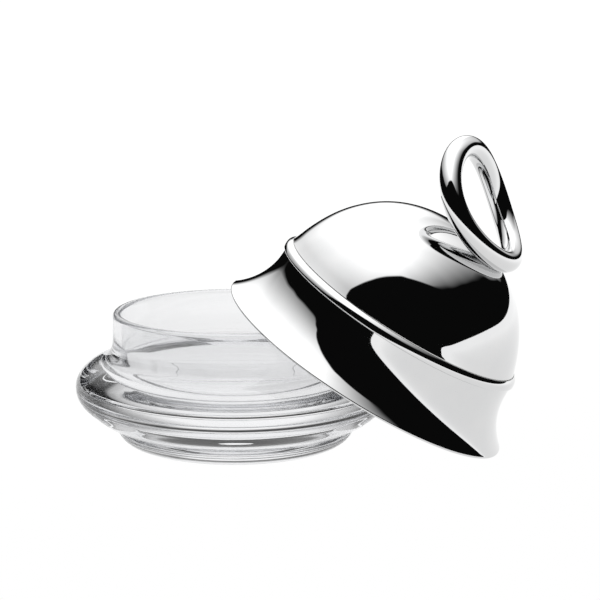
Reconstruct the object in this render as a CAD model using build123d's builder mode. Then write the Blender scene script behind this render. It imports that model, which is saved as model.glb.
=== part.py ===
from build123d import *
from math import cos, radians, sin
import os

# Lidded glass bowl with a polished metal bell lid and a warped ring handle.
# World frame: +Z up, the bowl's base centre on the table is the origin,
# -Y is the front. The lid is off the bowl: its rim stands on the table on the
# +X side and the lid leans over the bowl's mouth.

# ---------------------------------------------------------------- bowl sizes
BASE_R = 32.0            # flat part of the underside
FOOT_R = 44.3            # widest part of the foot
FOOT_TOP = 6.8           # height of the foot's upper corner
BELLY_R = 60.0           # widest part of the belly
BELLY_Z = 22.4           # height of the widest part
NECK_R = 45.9            # straight neck, outside
GLASS_T = 3.1            # glass thickness at the neck
BOWL_H = 51.3            # rim height
LIP_EDGE = 1.4           # rounding of the rim's two edges
NECK_Z = 42.5            # where the neck turns straight
FLOOR_Z = 21.5           # inside floor: the glass below it is solid

# ----------------------------------------------------------------- lid sizes
LID_TILT = 31.5          # lid axis away from vertical, towards +X
LID_TURN = -6.5          # direction of that lean about Z
LID_X = 48.6             # centre of the lid's rim plane
LID_Y = -5.5
LIP_R = 0.5              # rounded edge of the collar's sheet
RIM_R = 58.31            # centre of that rounding; the rim is 58.81 outside
# height of the rim plane's centre, so that the lid stands on z = 0
RIM_CZ = RIM_R * sin(radians(LID_TILT)) + LIP_R * (1 - cos(radians(LID_TILT)))
COLLAR_T = 1.0           # collar sheet
DOME_T = 0.9             # dome sheet
SEAT_R = 48.1            # dome and collar meet on this cylinder
SEAT_LOW = 20.5          # bottom of the dome's straight edge, from the rim
BEAD_LOW = 24.0          # underside of the bead
BEAD_TOP = 27.8          # top of the bead
BEAD_R = 50.15           # widest part of the bead
DOME_FOOT = 27.9         # where the dome starts to close in
DOME_TOP = 64.18         # crown of the dome, from the rim

# -------------------------------------------------------------- handle sizes
TUBE_R = 4.18            # half thickness of the ring's round bar
SCREW_R = 1.5
SCREW_HEAD_R = 3.0
SCREW_HEAD_H = 2.2
WASHER_R = 4.5
WASHER_T = 1.4
HOLE_DEPTH = 4.2         # blind hole into the ring, from the dome's outside
SCREW_IN = 3.8           # how far the screw reaches past the dome
# where the ring stands on the dome, and the dome's outward direction there
FOOT_POINT = (18.874, -8.863, 60.412)
FOOT_DIR = (0.3603, -0.1692, 0.9174)

lean = radians(LID_TILT)
turn = radians(LID_TURN)
lid_up = Vector(sin(lean) * cos(turn), sin(lean) * sin(turn), cos(lean))
lid_out = Vector(cos(lean) * cos(turn), cos(lean) * sin(turn), -sin(lean))
lid_origin = Vector(LID_X, LID_Y, RIM_CZ)
lid_plane = Plane(origin=lid_origin, x_dir=lid_out, z_dir=lid_up)
lid_profile = Plane(origin=lid_origin, x_dir=lid_out, z_dir=lid_out.cross(lid_up))
lid_axis = Axis(lid_origin, lid_up)
foot_dir = lid_out * FOOT_DIR[0] + lid_up.cross(lid_out) * FOOT_DIR[1] + lid_up * FOOT_DIR[2]
# the washer's flat face, where the screw head bears, looking out of the dome
screw_seat = Plane(origin=lid_plane.from_local_coords(FOOT_POINT), z_dir=foot_dir).offset(
    -(DOME_T + WASHER_T)
)

# ---------------------------------------------------------------- glass bowl
with BuildPart() as glass_bowl:
    with BuildSketch(Plane.XZ):
        with BuildLine():
            Line((0, 0), (BASE_R, 0))
            # rounded foot
            Spline(
                (BASE_R, 0), (37.0, 0.95), (40.4, 2.3), (42.8, 4.1), (FOOT_R, FOOT_TOP),
                tangents=[(1, 0.05), (0.12, 1)],
            )
            # narrow groove between foot and belly
            Line((FOOT_R, FOOT_TOP), (FOOT_R - 0.7, FOOT_TOP + 0.5))
            # belly, shoulder and the hollow sweep up into the neck
            Spline(
                (FOOT_R - 0.7, FOOT_TOP + 0.5), (48.9, 9.9), (54.4, 13.8), (58.5, 17.9),
                (BELLY_R, BELLY_Z), (59.2, 26.6), (56.5, 30.0), (52.6, 32.5),
                (49.3, 34.0), (47.3, 36.0), (46.2, 39.0), (NECK_R, NECK_Z),
                tangents=[(1, 0.45), (0, 1)],
            )
            Line((NECK_R, NECK_Z), (NECK_R, BOWL_H - LIP_EDGE))
            # lip: flat on top with two rounded edges
            RadiusArc((NECK_R, BOWL_H - LIP_EDGE), (NECK_R - LIP_EDGE, BOWL_H), -LIP_EDGE)
            Line((NECK_R - LIP_EDGE, BOWL_H), (NECK_R - GLASS_T + LIP_EDGE, BOWL_H))
            RadiusArc(
                (NECK_R - GLASS_T + LIP_EDGE, BOWL_H), (NECK_R - GLASS_T, BOWL_H - LIP_EDGE), -LIP_EDGE
            )
            Line((NECK_R - GLASS_T, BOWL_H - LIP_EDGE), (NECK_R - GLASS_T, 39.0))
            # inside: slightly swollen below the neck, round corner, flat floor
            Spline(
                (NECK_R - GLASS_T, 39.0), (43.9, 34.8), (46.9, 31.6), (48.8, 28.4),
                (47.8, 25.2), (44.0, 22.7), (37.0, FLOOR_Z),
                tangents=[(0, -1), (-1, 0)],
            )
            Line((37.0, FLOOR_Z), (0, FLOOR_Z))
            Line((0, FLOOR_Z), (0, 0))
        make_face()
    revolve(axis=Axis.Z)
glass_bowl.part.label = "glass_bowl"

# -------------------------------------------------------------------- collar
with BuildPart() as lid_collar:
    with BuildSketch(lid_profile):
        with BuildLine():
            # flared outside, from the rim up to the straight neck under the bead
            Spline(
                (58.65, 0.87), (56.547, 3.0), (54.458, 5.6), (52.582, 8.6), (51.048, 12.0),
                (50.157, 15.0), (49.715, 17.5), (49.525, 19.5), (49.413, 21.5), (49.3, BEAD_LOW),
                tangents=[(-0.732, 0.681), (-0.044, 1)],
            )
            # bead: a flat underside, a small edge and a rounded shoulder
            Line((49.3, BEAD_LOW), (49.9, BEAD_LOW + 0.05))
            Line((49.9, BEAD_LOW + 0.05), (BEAD_R, BEAD_LOW + 0.35))
            ThreePointArc((BEAD_R, BEAD_LOW + 0.35), (49.57, 26.22), (48.35, BEAD_TOP))
            Line((48.35, BEAD_TOP), (SEAT_R, BEAD_TOP - 0.2))
            # cylinder the dome sits in
            Line((SEAT_R, BEAD_TOP - 0.2), (SEAT_R, SEAT_LOW))
            Line((SEAT_R, SEAT_LOW), (48.528, 19.431))
            # inside of the flare
            Spline(
                (48.528, 19.431), (48.723, 17.374), (49.182, 14.776), (50.109, 11.656),
                (51.702, 8.125), (53.645, 5.018), (55.802, 2.332), (57.97, 0.14),
                tangents=[(0.05, -1), (0.732, -0.681)],
            )
            # rounded edge
            ThreePointArc((57.97, 0.14), (58.675, 0.16), (58.65, 0.87))
        make_face()
    revolve(axis=lid_axis)
lid_collar.part.label = "lid_collar"

# ---------------------------------------------------------------------- dome
dome_out = [
    (47.656, 29.0), (47.161, 30.3), (46.527, 32.0), (45.501, 34.5), (43.96, 37.8),
    (41.944, 41.5), (39.6, 45.1), (35.66, 49.86), (28.76, 55.93), (21.17, 60.27),
    (13.20, 62.91), (6.86, 63.91), (0, DOME_TOP),
]
dome_in = [
    (0, DOME_TOP - DOME_T), (6.78, 63.01), (13.00, 62.03), (20.81, 59.45),
    (28.23, 55.19), (35.00, 49.25), (38.868, 44.576), (41.17, 41.041), (43.155, 37.397),
    (44.676, 34.141), (45.687, 31.677), (46.316, 29.99), (46.821, 28.665),
]

with BuildPart() as lid_dome:
    with BuildSketch(lid_profile):
        with BuildLine():
            Line((SEAT_R, SEAT_LOW), (SEAT_R, DOME_FOOT))
            Spline((SEAT_R, DOME_FOOT), *dome_out, tangents=[(-0.399, 0.917), (-1, 0)])
            Line((0, DOME_TOP), (0, DOME_TOP - DOME_T))
            Spline(*dome_in, (SEAT_R - DOME_T, 27.76), tangents=[(1, 0), (0.37, -0.93)])
            Line((SEAT_R - DOME_T, 27.76), (SEAT_R - DOME_T, SEAT_LOW))
            Line((SEAT_R - DOME_T, SEAT_LOW), (SEAT_R, SEAT_LOW))
        make_face()
    revolve(axis=lid_axis)
    # hole for the handle screw
    with BuildSketch(Plane(origin=lid_plane.from_local_coords(FOOT_POINT), z_dir=foot_dir).offset(-6)):
        Circle(SCREW_R)
    extrude(amount=9, mode=Mode.SUBTRACT)
lid_dome.part.label = "lid_dome"

# the solid volume under the dome's outside, used only to shape the ring's foot
with BuildPart() as dome_volume:
    with BuildSketch(lid_profile):
        with BuildLine():
            Line((0, SEAT_LOW), (SEAT_R, SEAT_LOW))
            Line((SEAT_R, SEAT_LOW), (SEAT_R, DOME_FOOT))
            Spline((SEAT_R, DOME_FOOT), *dome_out, tangents=[(-0.399, 0.917), (-1, 0)])
            Line((0, DOME_TOP), (0, SEAT_LOW))
        make_face()
    revolve(axis=lid_axis)

# --------------------------------------------------------------- handle ring
# a round bar bent to a closed, slightly warped loop that stands on the dome
ring_points = [
    (-9.489, 11.920, 90.053), (-12.906, 3.810, 89.851), (-14.065, -4.466, 86.904),
    (-12.552, -11.751, 82.011), (-8.277, -17.076, 76.385), (-1.680, -19.725, 71.192),
    (6.216, -19.286, 67.196), (13.970, -15.720, 64.654), (20.083, -9.430, 63.487),
    (23.413, -1.281, 63.562), (23.471, 7.478, 64.894), (20.488, 15.410, 67.632),
    (15.237, 21.165, 71.825), (8.727, 23.776, 77.146), (1.932, 22.852, 82.757),
    (-4.353, 18.640, 87.453),
]
ring_world = [lid_plane.from_local_coords(p) for p in ring_points]


def arc_between(p, run, q):
    """Centre, axis direction and angle of the arc that leaves p along run and ends at q."""
    chord = q - p
    inward = (chord - run * chord.dot(run)).normalized()
    radius = chord.dot(chord) / (2 * chord.dot(inward))
    centre = p + inward * radius
    return centre, (p - centre).cross(run).normalized(), (p - centre).get_angle(q - centre)


# the loop is 16 tangent arcs, two between each pair of the 8 even points
ring_arcs = []
for i in range(0, 16, 2):
    p, q = ring_world[i], ring_world[(i + 2) % 16]
    run_p = (ring_world[i + 1] - ring_world[i - 1]).normalized()
    run_q = (ring_world[(i + 3) % 16] - ring_world[i + 1]).normalized()
    gap, both, bend = q - p, run_p + run_q, 2 * (1 - run_p.dot(run_q))
    reach = (-gap.dot(both) + (gap.dot(both) ** 2 + bend * gap.dot(gap)) ** 0.5) / bend
    joint = (p + run_p * reach + q - run_q * reach) * 0.5
    run_joint = ((q - run_q * reach) - (p + run_p * reach)).normalized()
    ring_arcs += [(p, run_p, joint), (joint, run_joint, q)]

with BuildPart() as handle_ring:
    for start, run, end in ring_arcs:
        centre, spin, angle = arc_between(start, run, end)
        with BuildSketch(Plane(origin=start, x_dir=spin, z_dir=run)):
            Circle(TUBE_R)
        revolve(axis=Axis(centre, spin), revolution_arc=angle)
    # saddle-shaped foot that fits the dome
    add(dome_volume.part, mode=Mode.SUBTRACT)
    # blind hole for the screw
    with BuildSketch(Plane(origin=lid_plane.from_local_coords(FOOT_POINT), z_dir=foot_dir).offset(-2)):
        Circle(SCREW_R)
    extrude(amount=2 + HOLE_DEPTH, mode=Mode.SUBTRACT)
handle_ring.part.label = "handle_ring"

# ------------------------------------------------- screw and shaped washer
with BuildPart() as handle_washer:
    with BuildSketch(screw_seat):
        Circle(WASHER_R)
        Circle(SCREW_R, mode=Mode.SUBTRACT)
    extrude(amount=WASHER_T + 0.5)
    add(lid_dome.part, mode=Mode.SUBTRACT)
handle_washer.part.label = "handle_washer"

with BuildPart() as handle_screw:
    with BuildSketch(screw_seat.offset(-SCREW_HEAD_H)):
        Circle(SCREW_HEAD_R)
    extrude(amount=SCREW_HEAD_H)
    with BuildSketch(screw_seat):
        Circle(SCREW_R)
    extrude(amount=WASHER_T + DOME_T + SCREW_IN)
    chamfer(handle_screw.faces().sort_by(Axis(screw_seat.origin, screw_seat.z_dir))[0].edges(), 0.4)
    # hexagon socket in the head
    with BuildSketch(screw_seat.offset(-SCREW_HEAD_H)):
        RegularPolygon(1.25, 6)
    extrude(amount=1.3, mode=Mode.SUBTRACT)
handle_screw.part.label = "handle_screw"

os.makedirs("parts", exist_ok=True)
export_step(glass_bowl.part, "parts/glass_bowl.step")
export_step(lid_collar.part, "parts/lid_collar.step")
export_step(lid_dome.part, "parts/lid_dome.step")
export_step(handle_ring.part, "parts/handle_ring.step")
export_step(handle_washer.part, "parts/handle_washer.step")
export_step(handle_screw.part, "parts/handle_screw.step")
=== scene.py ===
import math

import bpy
import numpy as np
from mathutils import Matrix, Vector


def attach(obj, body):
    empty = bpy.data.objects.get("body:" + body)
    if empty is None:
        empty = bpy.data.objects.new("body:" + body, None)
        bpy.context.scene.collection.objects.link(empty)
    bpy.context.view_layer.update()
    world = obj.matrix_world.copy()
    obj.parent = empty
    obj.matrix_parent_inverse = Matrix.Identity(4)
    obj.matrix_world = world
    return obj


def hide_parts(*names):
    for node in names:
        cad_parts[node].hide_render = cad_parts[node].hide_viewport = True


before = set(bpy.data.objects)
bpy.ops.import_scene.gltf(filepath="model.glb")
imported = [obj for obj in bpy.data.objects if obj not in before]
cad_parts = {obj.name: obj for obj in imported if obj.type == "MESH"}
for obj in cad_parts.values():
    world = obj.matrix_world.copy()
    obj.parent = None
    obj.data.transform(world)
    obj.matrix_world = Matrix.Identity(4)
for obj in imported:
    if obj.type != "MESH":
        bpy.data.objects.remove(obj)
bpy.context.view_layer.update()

MM = 0.001
scene = bpy.context.scene

# ------------------------------------------------------------- lid placement
LEAN, TURN = math.radians(31.5), math.radians(-6.5)
RIM_R, LIP_R = 58.31, 0.5
LID_ORIGIN = np.array([48.6, -5.5, RIM_R * math.sin(LEAN) + LIP_R * (1 - math.cos(LEAN))])
LID_UP = np.array([math.sin(LEAN) * math.cos(TURN), math.sin(LEAN) * math.sin(TURN), math.cos(LEAN)])
LID_OUT = np.array([math.cos(LEAN) * math.cos(TURN), math.cos(LEAN) * math.sin(TURN), -math.sin(LEAN)])
LID_SIDE = np.cross(LID_UP, LID_OUT)
LID_AXES = np.stack([LID_OUT, LID_SIDE, LID_UP])     # rows: lid frame to world


def lid_to_world(points):
    return np.asarray(points, float) @ LID_AXES + LID_ORIGIN


def unit(v):
    v = np.asarray(v, float)
    return v / np.linalg.norm(v, axis=-1, keepdims=True)


# ------------------------------------------------------------ profile curves
def spline(points, start, end, step=0.6):
    """A smooth curve through the points, with given end directions, as evenly cut points."""
    p = np.asarray(points, float)
    h = np.linalg.norm(np.diff(p, axis=0), axis=1)
    n = len(p)
    a, b = np.zeros((n, n)), np.zeros((n, 2))
    a[0, 0] = a[-1, -1] = 1
    b[0], b[-1] = unit(start), unit(end)
    for i in range(1, n - 1):
        a[i, i - 1], a[i, i], a[i, i + 1] = h[i], 2 * (h[i - 1] + h[i]), h[i - 1]
        b[i] = 3 * (h[i - 1] * (p[i + 1] - p[i]) / h[i] + h[i] * (p[i] - p[i - 1]) / h[i - 1])
    m = np.linalg.solve(a, b)
    out = [p[0]]
    for i in range(n - 1):
        k = max(2, int(math.ceil(h[i] / step)))
        for t in np.arange(1, k + 1) / k:
            out.append(
                (2 * t**3 - 3 * t**2 + 1) * p[i] + (t**3 - 2 * t**2 + t) * h[i] * m[i]
                + (-2 * t**3 + 3 * t**2) * p[i + 1] + (t**3 - t**2) * h[i] * m[i + 1]
            )
    return np.array(out)


def arc(p, q, r, n=14):
    """The arc from p through q to r."""
    p, q, r = (np.asarray(v, float) for v in (p, q, r))
    m = np.array([q - p, r - p]) * 2
    c = np.linalg.solve(m, [q @ q - p @ p, r @ r - p @ p])
    t = [math.atan2(*(v - c)[::-1]) for v in (p, q, r)]
    turn = lambda a, b: (b - a) % (2 * math.pi)
    span = turn(t[0], t[2]) if turn(t[0], t[1]) < turn(t[0], t[2]) else turn(t[0], t[2]) - 2 * math.pi
    s = t[0] + span * np.linspace(0, 1, n + 1)
    return c + np.linalg.norm(p - c) * np.stack([np.cos(s), np.sin(s)], 1)


def line(p, q, n=1):
    return np.linspace(p, q, n + 1)


# ------------------------------------------------------------------- meshes
def mesh_object(name, verts, faces, sharp=(), smooth=True, slots=None):
    mesh = bpy.data.meshes.new(name)
    mesh.from_pydata([tuple(v) for v in np.asarray(verts) * MM], [], faces)
    mesh.validate()
    mesh.polygons.foreach_set("use_smooth", [smooth] * len(mesh.polygons))
    if len(sharp):
        pairs = {tuple(sorted(e)) for e in sharp}
        mark = mesh.attributes.new("sharp_edge", "BOOLEAN", "EDGE")
        mark.data.foreach_set("value", [tuple(sorted(e.vertices)) in pairs for e in mesh.edges])
    if slots is not None:
        mesh.polygons.foreach_set("material_index", slots)
    mesh.update()
    obj = bpy.data.objects.new(name, mesh)
    scene.collection.objects.link(obj)
    return obj


def lathe(name, parts, place=None, around=288, closed=True):
    """Turns a closed profile about the axis. parts are (points, slot, sharp_start); a join between parts stays crisp
    where the later part has sharp_start set, and so does the join where the profile closes on itself.
    """
    ring_r, ring_z, crisp, slot = [], [], [], []
    for points, index, sharp_start in parts:
        points = np.asarray(points, float)
        skip = 1 if ring_r else 0
        if ring_r and sharp_start:
            crisp.append(len(ring_r) - 1)
        for r, z in points[skip:]:
            ring_r.append(r)
            ring_z.append(z)
        slot += [index] * (len(points) - 1)
    ring_r, ring_z = np.array(ring_r), np.array(ring_z)
    if closed and np.hypot(ring_r[0] - ring_r[-1], ring_z[0] - ring_z[-1]) < 1e-6:
        ring_r, ring_z = ring_r[:-1], ring_z[:-1]
        wrap = True
        crisp.append(0)
    else:
        wrap = False
    t = np.linspace(0, 2 * math.pi, around, endpoint=False)
    verts, ids = [], []
    for r, z in zip(ring_r, ring_z):
        if r < 1e-6:
            ids.append([len(verts)] * around)
            verts.append((0.0, 0.0, z))
        else:
            ids.append(list(range(len(verts), len(verts) + around)))
            verts += list(zip(r * np.cos(t), r * np.sin(t), np.full(around, z)))
    faces, slots = [], []
    n = len(ids)
    for i in range(n if wrap else n - 1):
        lo, hi = ids[i], ids[(i + 1) % n]
        for k in range(around):
            j = (k + 1) % around
            corner = [lo[k], lo[j], hi[j], hi[k]]
            corner = [v for m, v in enumerate(corner) if v not in corner[:m]]
            if len(corner) > 2:
                faces.append(corner)
                slots.append(slot[i])
    sharp = [(ids[i][k], ids[i][(k + 1) % around]) for i in crisp for k in range(around) if ids[i][0] != ids[i][1]]
    verts = np.array(verts)
    if place is not None:
        verts = place(verts)
    return mesh_object(name, verts, faces, sharp, True, slots)


# ------------------------------------------------------------- node material
class Nodes:
    """A small helper that lays out shader nodes."""

    def __init__(self, tree):
        self.tree = tree
        tree.nodes.clear()

    def add(self, kind, inputs=None, **settings):
        node = self.tree.nodes.new(kind)
        for key, value in settings.items():
            setattr(node, key, value)
        for key, value in (inputs or {}).items():
            self.put(node.inputs[key], value)
        return node

    def put(self, socket, value):
        if isinstance(value, bpy.types.NodeSocket):
            self.tree.links.new(value, socket)
        else:
            socket.default_value = value

    def math(self, operation, a, b=0.0, c=0.0, clamp=False):
        node = self.tree.nodes.new("ShaderNodeMath")
        node.operation, node.use_clamp = operation, clamp
        for i, value in enumerate((a, b, c)):
            if i < len(node.inputs):
                self.put(node.inputs[i], value)
        return node.outputs[0]

    def remap(self, value, a, b, c=0.0, d=1.0, kind="LINEAR"):
        node = self.add("ShaderNodeMapRange", {"Value": value, "From Min": a, "From Max": b, "To Min": c, "To Max": d})
        node.interpolation_type = kind
        return node.outputs["Result"]

    def curve(self, value, points, low, high):
        """A smooth curve from value (0 to 1) to a number from low to high."""
        node = self.tree.nodes.new("ShaderNodeFloatCurve")
        line = node.mapping.curves[0]
        while len(line.points) > 2:
            line.points.remove(line.points[1])
        pts = [(x, (y - low) / (high - low)) for x, y in points]
        line.points[0].location, line.points[1].location = pts[0], pts[-1]
        for p in pts[1:-1]:
            line.points.new(*p)
        for p in line.points:
            p.handle_type = "AUTO_CLAMPED"
        node.mapping.update()
        self.put(node.inputs["Value"], value)
        return self.remap(node.outputs["Value"], 0.0, 1.0, low, high)


def material(name):
    mat = bpy.data.materials.new(name)
    mat.use_nodes = True
    return mat, Nodes(mat.node_tree)


def polished_metal():
    mat, n = material("polished_steel")
    where = n.add("ShaderNodeTexCoord").outputs["Object"]
    cloud = n.add("ShaderNodeTexNoise", {"Vector": where, "Scale": 90.0, "Detail": 4.0, "Roughness": 0.6})
    hair = n.add("ShaderNodeMapping", {"Vector": where, "Rotation": (0.5, 0.9, 0.4), "Scale": (1.0, 26.0, 26.0)})
    lines = n.add("ShaderNodeTexNoise", {"Vector": hair.outputs[0], "Scale": 160.0, "Detail": 3.0, "Roughness": 0.7})
    wipe = n.remap(lines.outputs[0], 0.62, 0.8, 0.0, 0.035)
    rough = n.math("ADD", n.remap(cloud.outputs[0], 0.3, 0.75, 0.012, 0.034), wipe)
    tone = n.add("ShaderNodeValToRGB", {"Fac": cloud.outputs[0]})
    tone.color_ramp.elements[0].position, tone.color_ramp.elements[0].color = 0.25, (0.655, 0.66, 0.665, 1)
    tone.color_ramp.elements[1].position, tone.color_ramp.elements[1].color = 0.8, (0.69, 0.69, 0.69, 1)
    bump = n.add("ShaderNodeBump", {"Strength": 0.02, "Distance": 0.00002, "Height": lines.outputs[0]})
    bsdf = n.add("ShaderNodeBsdfPrincipled", {"Base Color": tone.outputs[0], "Metallic": 1.0, "Roughness": rough, "Normal": bump.outputs[0]})
    out = n.add("ShaderNodeOutputMaterial", {"Surface": bsdf.outputs[0]})
    return mat


def satin_metal(name, centre=None, axis=None, scale=1.0):
    """Turned or brushed steel: fine rings about the lid's axis, with soft blotches."""
    mat, n = material(name)
    where = n.add("ShaderNodeTexCoord").outputs["Object"]
    cloud = n.add("ShaderNodeTexNoise", {"Vector": where, "Scale": 60.0, "Detail": 3.0})
    along = n.add("ShaderNodeVectorMath", {0: where, 1: tuple(LID_UP)}, operation="DOT_PRODUCT").outputs["Value"]
    grain = n.add("ShaderNodeTexNoise", {"W": along, "Scale": 4200.0 * scale, "Detail": 2.0}, noise_dimensions="1D")
    rough = n.math("ADD", n.remap(cloud.outputs[0], 0.3, 0.7, 0.2, 0.3), n.remap(grain.outputs[0], 0.3, 0.7, -0.05, 0.08))
    tone = n.add("ShaderNodeValToRGB", {"Fac": grain.outputs[0]})
    tone.color_ramp.elements[0].position, tone.color_ramp.elements[0].color = 0.3, (0.5, 0.5, 0.5, 1)
    tone.color_ramp.elements[1].position, tone.color_ramp.elements[1].color = 0.7, (0.62, 0.62, 0.61, 1)
    bump = n.add("ShaderNodeBump", {"Strength": 0.25, "Distance": 0.00003, "Height": grain.outputs[0]})
    bsdf = n.add("ShaderNodeBsdfPrincipled", {"Base Color": tone.outputs[0], "Metallic": 1.0, "Roughness": rough, "Normal": bump.outputs[0]})
    n.add("ShaderNodeOutputMaterial", {"Surface": bsdf.outputs[0]})
    return mat


def clear_glass():
    mat, n = material("clear_glass")
    where = n.add("ShaderNodeTexCoord").outputs["Object"]
    # pressed glass: faint level ripples and slow waves in the surface
    flat = n.add("ShaderNodeMapping", {"Vector": where, "Scale": (3.0, 3.0, 120.0)})
    streak = n.add("ShaderNodeTexNoise", {"Vector": flat.outputs[0], "Scale": 9.0, "Detail": 2.0, "Roughness": 0.5})
    slow = n.add("ShaderNodeTexNoise", {"Vector": where, "Scale": 22.0, "Detail": 1.0})
    height = n.math("ADD", n.math("MULTIPLY", streak.outputs[0], 0.6), slow.outputs[0])
    bump = n.add("ShaderNodeBump", {"Strength": 0.02, "Distance": 0.00003, "Height": height})
    # the rounded shoulder is a little hazy
    spot = n.add("ShaderNodeSeparateXYZ", {0: where})
    out = n.math("SQRT", n.math("ADD", n.math("MULTIPLY", spot.outputs["X"], spot.outputs["X"]), n.math("MULTIPLY", spot.outputs["Y"], spot.outputs["Y"])))
    haze = n.math("MULTIPLY", n.remap(spot.outputs["Z"], 0.018, 0.026, 0.0, 0.006, "SMOOTHSTEP"), n.remap(out, 0.0475, 0.0515, 0.0, 1.0, "SMOOTHSTEP"))
    rough = n.math("ADD", n.remap(slow.outputs[0], 0.4, 0.7, 0.0, 0.003), haze)
    tint = n.add("ShaderNodeValToRGB", {"Fac": slow.outputs[0]})
    tint.color_ramp.elements[0].position, tint.color_ramp.elements[0].color = 0.3, (0.935, 0.937, 0.941, 1)
    tint.color_ramp.elements[1].position, tint.color_ramp.elements[1].color = 0.7, (0.949, 0.95, 0.954, 1)
    glass = n.add("ShaderNodeBsdfGlass", {"Color": tint.outputs[0], "Roughness": rough, "IOR": 1.5, "Normal": bump.outputs[0]})
    clear = n.add("ShaderNodeBsdfTransparent", {"Color": (0.93, 0.94, 0.94, 1)})
    path = n.add("ShaderNodeLightPath")
    mix = n.add("ShaderNodeMixShader", {0: path.outputs["Is Shadow Ray"], 1: glass.outputs[0], 2: clear.outputs[0]})
    n.add("ShaderNodeOutputMaterial", {"Surface": mix.outputs[0]})
    return mat


POLISHED, SATIN, GLASS = polished_metal(), satin_metal("satin_steel"), clear_glass()
PLAIN = satin_metal("plain_steel", scale=0.5)

# ---------------------------------------------------------------- glass bowl
outer_foot = spline([(32, 0), (37.0, 0.95), (40.4, 2.3), (42.8, 4.1), (44.3, 6.8)], (1, 0.05), (0.12, 1), 0.25)
outer_belly = spline(
    [(43.6, 7.3), (48.9, 9.9), (54.4, 13.8), (58.5, 17.9), (60, 22.4), (59.2, 26.6), (56.5, 30.0),
     (52.6, 32.5), (49.3, 34.0), (47.3, 36.0), (46.2, 39.0), (45.9, 42.5)], (1, 0.45), (0, 1), 0.25)
inner_wall = spline(
    [(42.8, 39.0), (43.9, 34.8), (46.9, 31.6), (48.8, 28.4), (47.8, 25.2), (44.0, 22.7), (37.0, 21.5)],
    (0, -1), (-1, 0), 0.25)
# the underside is pressed in very slightly and stands on a ring
under = np.concatenate([spline([(0, 0.6), (14, 0.55), (24, 0.36), (28.5, 0.08), (30, 0)], (1, 0), (1, 0), 0.8), [(32, 0)]])
bowl = lathe("bowl_glass", [
    (under, 0, False),
    (outer_foot, 0, False),
    (line((44.3, 6.8), (43.6, 7.3), 2), 0, True),
    (outer_belly, 0, True),
    (line((45.9, 42.5), (45.9, 49.9), 8), 0, False),
    (arc((45.9, 49.9), (45.49, 50.89), (44.5, 51.3), 10), 0, False),
    (line((44.5, 51.3), (44.2, 51.3)), 0, False),
    (arc((44.2, 51.3), (43.21, 50.89), (42.8, 49.9), 10), 0, False),
    (line((42.8, 49.9), (42.8, 39.0), 12), 0, False),
    (inner_wall, 0, False),
    (line((37.0, 21.5), (0, 21.5), 24), 0, False),
], around=576, closed=False)
bowl.data.materials.append(GLASS)

# -------------------------------------------------------------------- collar
def flare(low=0.87, high=24.0):
    """The collar's outside from the neck under the bead down to the rim, by its slope."""
    h = np.linspace(high, low, 1200)
    slope = np.tan(np.radians(2.5 + 2.4157 * np.log1p(np.exp(19.3 - h))))
    r = 49.3 + np.concatenate([[0], np.cumsum((slope[1:] + slope[:-1]) / 2 * (h[:-1] - h[1:]))])
    keep = np.r_[0:1200:16, 1199]
    return np.stack([r[keep], h[keep]], 1)[::-1]


collar_out = flare()
collar_out[0] = (58.65, 0.87)
collar_in = spline(
    [(48.528, 19.431), (48.723, 17.374), (49.182, 14.776), (50.109, 11.656),
     (51.702, 8.125), (53.645, 5.018), (55.802, 2.332), (57.97, 0.14)], (0.05, -1), (0.732, -0.681), 0.6)
bead = spline([(50.15, 24.35), (50.07, 25.15), (49.84, 25.95), (49.42, 26.6), (48.88, 27.15), (48.35, 27.6)], (0, 1), (-0.78, 0.63), 0.15)
collar = lathe("lid_collar_metal", [
    (collar_out, 0, False),
    (line((49.3, 24.0), (49.9, 24.05), 2), 0, True),
    (line((49.9, 24.05), (50.15, 24.35), 1), 0, False),
    (bead, 0, False),
    (line((48.35, 27.6), (48.11, 27.5), 2), 0, False),
    (line((48.11, 27.5), (48.11, 20.5), 4), 1, True),
    (line((48.11, 20.5), (48.528, 19.431), 2), 1, True),
    (collar_in, 1, True),
    (arc((57.97, 0.14), (58.675, 0.16), (58.65, 0.87), 14), 0, False),
], lid_to_world)
collar.data.materials.append(POLISHED)
collar.data.materials.append(SATIN)

# ---------------------------------------------------------------------- dome
dome_out = spline(
    [(48.1, 27.9), (47.656, 29.0), (47.161, 30.3), (46.527, 32.0), (45.501, 34.5), (43.96, 37.8),
     (41.944, 41.5), (39.6, 45.1), (35.66, 49.86), (28.76, 55.93), (21.17, 60.27), (13.20, 62.91),
     (6.86, 63.91), (0, 64.18)], (-0.399, 0.917), (-1, 0), 0.5)
dome_in = spline(
    [(0, 63.28), (6.78, 63.01), (13.00, 62.03), (20.81, 59.45), (28.23, 55.19), (35.00, 49.25),
     (38.868, 44.576), (41.17, 41.041), (43.155, 37.397), (44.676, 34.141), (45.687, 31.677),
     (46.316, 29.99), (46.821, 28.665), (47.2, 27.76)], (1, 0), (0.37, -0.93), 0.8)
dome = lathe("lid_dome_metal", [
    (line((47.2, 20.5), (48.1, 20.5), 1), 1, False),
    (line((48.1, 20.5), (48.1, 27.9), 5), 1, True),
    (dome_out, 0, True),
    (line((0, 64.18), (0, 63.28), 1), 0, False),
    (dome_in, 1, False),
    (line((47.2, 27.76), (47.2, 20.5), 5), 1, True),
], lid_to_world)
dome.data.materials.append(POLISHED)
dome.data.materials.append(SATIN)

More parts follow.
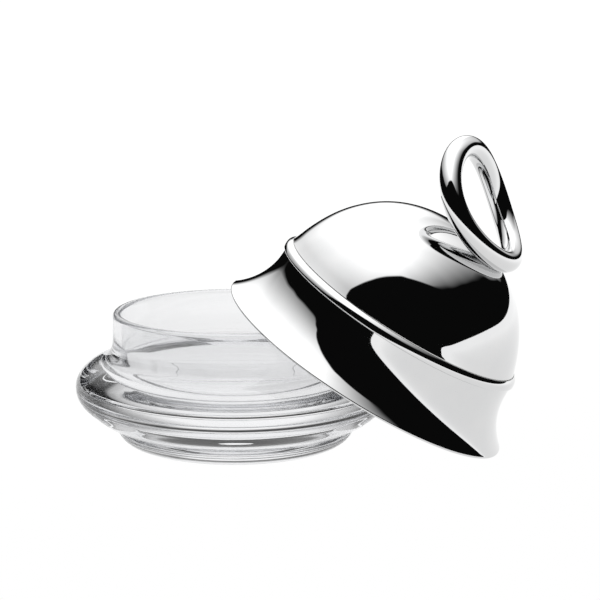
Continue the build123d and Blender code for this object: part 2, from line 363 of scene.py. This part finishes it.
# --------------------------------------------------------------- ring handle
ring_points = np.array([
    (-9.489, 11.920, 90.053), (-12.906, 3.810, 89.851), (-14.065, -4.466, 86.904),
    (-12.552, -11.751, 82.011), (-8.277, -17.076, 76.385), (-1.680, -19.725, 71.192),
    (6.216, -19.286, 67.196), (13.970, -15.720, 64.654), (20.083, -9.430, 63.487),
    (23.413, -1.281, 63.562), (23.471, 7.478, 64.894), (20.488, 15.410, 67.632),
    (15.237, 21.165, 71.825), (8.727, 23.776, 77.146), (1.932, 22.852, 82.757),
    (-4.353, 18.640, 87.453)])
TUBE_R = 4.18


def closed_curve(points, count):
    """A smooth closed curve through evenly spaced points, as the sum of its first waves."""
    wave = np.fft.rfft(points, axis=0)
    wave[6:] = 0
    t = np.arange(count) / count
    out = np.zeros((count, 3)) + wave[0].real / len(points)
    for k in range(1, 6):
        turn = np.exp(2j * math.pi * k * t)[:, None]
        out += 2 * (wave[k] * turn).real / len(points)
    return out


centre_line = closed_curve(ring_points, 320)
ahead = unit(np.roll(centre_line, -1, 0) - np.roll(centre_line, 1, 0))
ring_normal = unit(np.cross(centre_line - centre_line.mean(0), ahead).mean(0))
across = unit(np.cross(ahead, ring_normal))
upward = np.cross(across, ahead)
ROUND = 56
phase = np.linspace(0, 2 * math.pi, ROUND, endpoint=False)
ring_verts = (
    centre_line[:, None] + TUBE_R * (np.cos(phase)[None, :, None] * across[:, None] + np.sin(phase)[None, :, None] * upward[:, None])
).reshape(-1, 3)
# where the tube would enter the dome it is fitted to the dome's outside
dome_r, dome_h = dome_out[::-1, 0], dome_out[::-1, 1]
radius = np.hypot(ring_verts[:, 0], ring_verts[:, 1])
top = np.interp(radius, dome_r, dome_h) - 0.03
ring_verts[:, 2] = np.maximum(ring_verts[:, 2], np.where(radius < 47.5, top, -1e9))
count = len(centre_line)
ring_faces = [
    (i * ROUND + j, i * ROUND + (j + 1) % ROUND, (i + 1) % count * ROUND + (j + 1) % ROUND, (i + 1) % count * ROUND + j)
    for i in range(count) for j in range(ROUND)]
ring = mesh_object("handle_ring_metal", lid_to_world(ring_verts), ring_faces)
ring.data.materials.append(POLISHED)

# faces of every made piece point outwards
import bmesh
for obj in (bowl, collar, dome, ring):
    bm = bmesh.new()
    bm.from_mesh(obj.data)
    bmesh.ops.recalc_face_normals(bm, faces=bm.faces)
    bm.to_mesh(obj.data)
    bm.free()

# ------------------------------------------------- bodies, nodes and finishes
for obj, body, node, slot in (
    (bowl, "bowl", "glass_bowl", "glass"),
    (collar, "lid", "lid_collar", "polished_steel"),
    (dome, "lid", "lid_dome", "polished_steel"),
    (ring, "lid", "handle_ring", "polished_steel"),
):
    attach(obj, body)
    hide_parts(node)
for node in ("handle_washer", "handle_screw"):
    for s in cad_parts[node].material_slots:
        s.material = PLAIN

# ------------------------------------------------------------------- floor
floor = mesh_object("floor", [(-9000, -9000, -0.15), (9000, -9000, -0.15), (9000, 9000, -0.15), (-9000, 9000, -0.15)], [(0, 1, 2, 3)], smooth=False)
mat, n = material("pale_floor")
spot = n.add("ShaderNodeSeparateXYZ", {0: n.add("ShaderNodeTexCoord").outputs["Object"]})
# painted light: the floor as the camera sees it glows a little brighter towards the back left
toward = n.math("ADD", n.math("MULTIPLY", spot.outputs["X"], -0.55), n.math("MULTIPLY", spot.outputs["Y"], 0.84))
glow = n.remap(toward, -0.1, 0.6, 1.0, 1.05, "SMOOTHSTEP")
# painted shade: the table glows a little darker close to the object and brighter far from it, which shows only in the
# metal and the glass
off = n.math("SQRT", n.math("ADD", n.math("MULTIPLY", spot.outputs["X"], spot.outputs["X"]), n.math("MULTIPLY", spot.outputs["Y"], spot.outputs["Y"])))
painted_shade = n.remap(off, 0.06, 0.7, 0.97, 1.22, "SMOOTHSTEP")
seen = n.add("ShaderNodeLightPath").outputs["Is Camera Ray"]
glow = n.math("ADD", n.math("MULTIPLY", glow, seen), n.math("MULTIPLY", painted_shade, n.math("SUBTRACT", 1.0, seen)))
light = n.add("ShaderNodeEmission", {"Color": (1, 1, 1, 1), "Strength": glow})
n.add("ShaderNodeOutputMaterial", {"Surface": light.outputs[0]})
floor.data.materials.append(mat)

# ------------------------------------------------------- studio surroundings
world = bpy.data.worlds.new("studio")
scene.world = world
world.use_nodes = True
n = Nodes(world.node_tree)
way = n.add("ShaderNodeSeparateXYZ", {0: n.add("ShaderNodeTexCoord").outputs["Generated"]})
DEG = math.pi / 180
azimuth = n.math("DIVIDE", n.math("ARCTAN2", way.outputs["X"], n.math("MULTIPLY", way.outputs["Y"], -1.0)), DEG)
height = n.math("DIVIDE", n.math("ARCSINE", way.outputs["Z"]), DEG)
az01 = n.remap(azimuth, -180.0, 180.0)
a = lambda deg: (deg + 180) / 360
# upper edge of the dark part of the room, in degrees above the horizon, and how soft that edge is
edge = n.curve(az01, [
    (a(-180), 7.5), (a(-165), 8.5), (a(-155), 10.5), (a(-145), 11.5), (a(-135), 16), (a(-125), 21), (a(-115), 25.2),
    (a(-105), 27.3), (a(-95), 30), (a(-85), 30.6), (a(-75), 31.4), (a(-65), 32.2), (a(-60), 34.7), (a(-54.7), 39.6),
    (a(-49), 43), (a(-44), 47.8), (a(-36), 52.5), (a(-25), 56), (a(-14), 58.3), (a(0), 59.2), (a(16), 58.8),
    (a(27), 56), (a(38), 52), (a(49), 46.2), (a(57), 41), (a(65), 36.5), (a(73), 32.5), (a(82), 28.6),
    (a(92), 26.7), (a(106), 25), (a(115), 24.2), (a(125), 17), (a(135), 11.3), (a(145), 6.8), (a(165), 7.5), (a(180), 7.5)], 0, 90)
blur = n.curve(az01, [
    (a(-180), 5), (a(-165), 6), (a(-155), 5), (a(-145), 3), (a(-60), 2.5), (a(-50), 1.5), (a(50), 1.5), (a(60), 4),
    (a(70), 6), (a(110), 6), (a(125), 4), (a(145), 4), (a(165), 6), (a(180), 5)], 0, 90)
# above the edge the light grows with height: where it gets white, and how fast
white = n.curve(az01, [
    (a(-180), 14.5), (a(-175), 15.5), (a(-165), 20.5), (a(-155), 27.5), (a(-145), 36.5), (a(-135), 45),
    (a(-125), 51), (a(-115), 55), (a(-105), 58), (a(-95), 60.5), (a(-85), 62.5), (a(-75), 63.5), (a(-55), 64.5),
    (a(-25), 63), (a(5), 63), (a(15), 63.5), (a(25), 65), (a(35), 67), (a(45), 67.5), (a(65), 68.5), (a(95), 68),
    (a(105), 65.5), (a(115), 62), (a(125), 54), (a(135), 50), (a(145), 46), (a(155), 46), (a(165), 25), (a(175), 15),
    (a(180), 14.5)], 0, 90)
slope = n.curve(az01, [
    (a(-180), 0.05), (a(-145), 0.048), (a(-135), 0.04), (a(-105), 0.037), (a(-75), 0.038), (a(-45), 0.042),
    (a(0), 0.046), (a(45), 0.05), (a(65), 0.048), (a(75), 0.044), (a(85), 0.042), (a(95), 0.039), (a(105), 0.038),
    (a(115), 0.036), (a(125), 0.028), (a(135), 0.022), (a(155), 0.022), (a(165), 0.045), (a(175), 0.05),
    (a(180), 0.05)], 0, 0.1)
path = n.add("ShaderNodeLightPath")
through = path.outputs["Is Transmission Ray"]
glow = n.math("SUBTRACT", 1.46, n.math("MULTIPLY", slope, n.math("SUBTRACT", white, height)))
glow = n.math("MAXIMUM", n.math("MINIMUM", glow, 1.7), 0.0)
blur = n.math("MAXIMUM", blur, n.math("MULTIPLY", through, 8.0))
cut = n.math("DIVIDE", n.math("SUBTRACT", height, edge), blur, clamp=True)
glow = n.math("MULTIPLY", glow, cut)
# light that came through the glass has less contrast than light thrown back by the metal
glow = n.math("MULTIPLY_ADD", glow, n.remap(through, 0.0, 1.0, 1.0, 0.62), n.remap(through, 0.0, 1.0, 0.004, 0.02))
room = n.add("ShaderNodeBackground", {"Color": (1, 1, 1, 1), "Strength": glow})
plain = n.add("ShaderNodeBackground", {"Color": (1, 1, 1, 1), "Strength": 1.05})
mix = n.add("ShaderNodeMixShader", {0: path.outputs["Is Camera Ray"], 1: room.outputs[0], 2: plain.outputs[0]})
n.add("ShaderNodeOutputWorld", {"Surface": mix.outputs[0]})

# ------------------------------------------------------------------ camera
S = 0.378e-3
eps = math.radians(10.72)
look = Vector((0, math.cos(eps), -math.sin(eps)))
up = Vector((0, math.sin(eps), math.cos(eps)))
right = Vector((1, 0, 0))
place = look * (-3000 * S) + right * (64.1 * S) + up * (143.9 * S)
camera = bpy.data.cameras.new("camera")
camera.sensor_width, camera.lens = 36, 180
camera.clip_start, camera.clip_end = 0.05, 100
cam = bpy.data.objects.new("camera", camera)
scene.collection.objects.link(cam)
cam.matrix_world = Matrix.Translation(place) @ Matrix((right, up, -look)).transposed().to_4x4()
scene.camera = cam
scene.view_settings.view_transform = "Standard"
scene.view_settings.look = "None"
scene.cycles.max_bounces = 30
scene.cycles.transmission_bounces = 28
scene.cycles.glossy_bounces = 24
scene.cycles.caustics_reflective = True
scene.cycles.caustics_refractive = True
